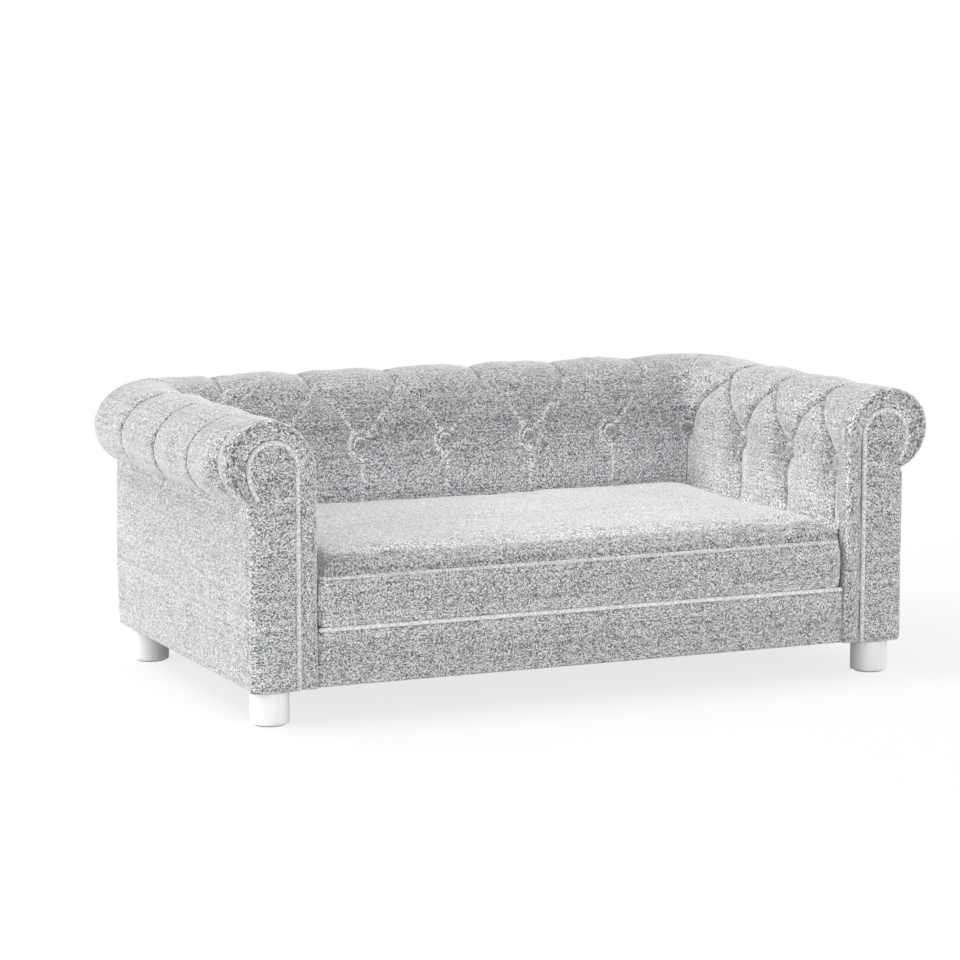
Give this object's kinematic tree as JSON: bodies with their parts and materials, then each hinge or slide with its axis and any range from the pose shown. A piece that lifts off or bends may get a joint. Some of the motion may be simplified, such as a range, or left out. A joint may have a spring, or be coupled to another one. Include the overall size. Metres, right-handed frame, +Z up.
{
  "type": "upholstered pet sofa bed",
  "caption": "Low upholstered pet sofa with rolled tufted arms and back, piped scroll fronts, loose seat cushion and round legs.",
  "frame": {"origin": "floor level under the middle of the sofa's bounding box", "axes": "+X to the sofa's right arm as seen from the front, +Y to the back, +Z up"},
  "size_m": [0.988, 0.589, 0.368],
  "materials": {
    "upholstery": "coarse heathered grey weave",
    "piping": "covered cord in the same grey weave",
    "button_fabric": "covered in the same grey weave",
    "padding_foam": "open-cell foam",
    "deck_cloth": "plain cloth",
    "dust_cloth": "spun-bonded cloth",
    "twine": "waxed",
    "frame_wood": "sawn",
    "hardboard": "smooth",
    "leg_wood": "pale painted, faint grain",
    "fastener_steel": "zinc plated",
    "zip_tape": "woven tape",
    "zip_plastic": "moulded coil",
    "zip_metal": "grey enamel",
    "glide_plastic": "moulded"
  },
  "bodies": {
    "sofa": {"front_rail": "frame_wood", "back_rail": "frame_wood", "side_rail_left": "frame_wood", "side_rail_right": "frame_wood", "centre_rail": "frame_wood", "corner_blocks": "frame_wood", "seat_deck": "frame_wood", "back_posts": "frame_wood", "arm_top_plank_left": "frame_wood", "arm_top_plank_right": "frame_wood", "back_top_plank": "frame_wood", "scroll_board_left": "frame_wood", "scroll_board_right": "frame_wood", "front_rail_board": "frame_wood", "arm_inner_board_left": "hardboard", "arm_inner_board_right": "hardboard", "back_inner_board": "hardboard", "side_board_left": "hardboard", "side_board_right": "hardboard", "outer_back_board": "hardboard", "frame_screws": "fastener_steel", "leg_studs": "fastener_steel", "leg_nuts": "fastener_steel", "dust_cover_staples": "fastener_steel", "deck_cover": "deck_cloth", "dust_cover": "dust_cloth", "button_ties": "twine", "arm_foam_left": "padding_foam", "arm_foam_right": "padding_foam", "back_foam": "padding_foam", "arm_cover_left": "upholstery", "arm_cover_right": "upholstery", "back_cover": "upholstery", "outside_arm_cover_left": "upholstery", "outside_arm_cover_right": "upholstery", "outside_back_cover": "upholstery", "arm_front_band_left": "upholstery", "arm_front_band_right": "upholstery", "arm_facing_left": "upholstery", "arm_facing_right": "upholstery", "front_rail_cover": "upholstery", "arm_piping_left": "piping", "arm_piping_right": "piping", "back_buttons": "button_fabric", "corner_buttons": "button_fabric", "arm_buttons_left": "button_fabric", "arm_buttons_right": "button_fabric", "leg_front_left": "leg_wood", "leg_front_right": "leg_wood", "leg_rear_left": "leg_wood", "leg_rear_right": "leg_wood", "leg_glides": "glide_plastic"},
    "seat_cushion": {"cushion_cover": "upholstery", "cushion_foam": "padding_foam", "zip_tape": "zip_tape", "zip_coil": "zip_plastic"},
    "zip_slider": {"zip_slider": "zip_metal"},
    "zip_pull": {"zip_pull": "zip_metal"}
  },
  "joints": [
    {"name": "cushion_lift", "type": "slide", "parent": "sofa", "child": "seat_cushion", "axis": [0, 0, 1], "range_m": [0, 0.3]},
    {"name": "zip_slide", "type": "slide", "parent": "seat_cushion", "child": "zip_slider", "axis": [1, 0, 0], "range_m": [-0.59, 0]},
    {"name": "zip_pull_turn", "type": "hinge", "parent": "zip_slider", "child": "zip_pull", "pos_m": [0.3, 0.1475, 0.1453], "axis": [0, 0, -1], "range_deg": [0, 160]}
  ]
}
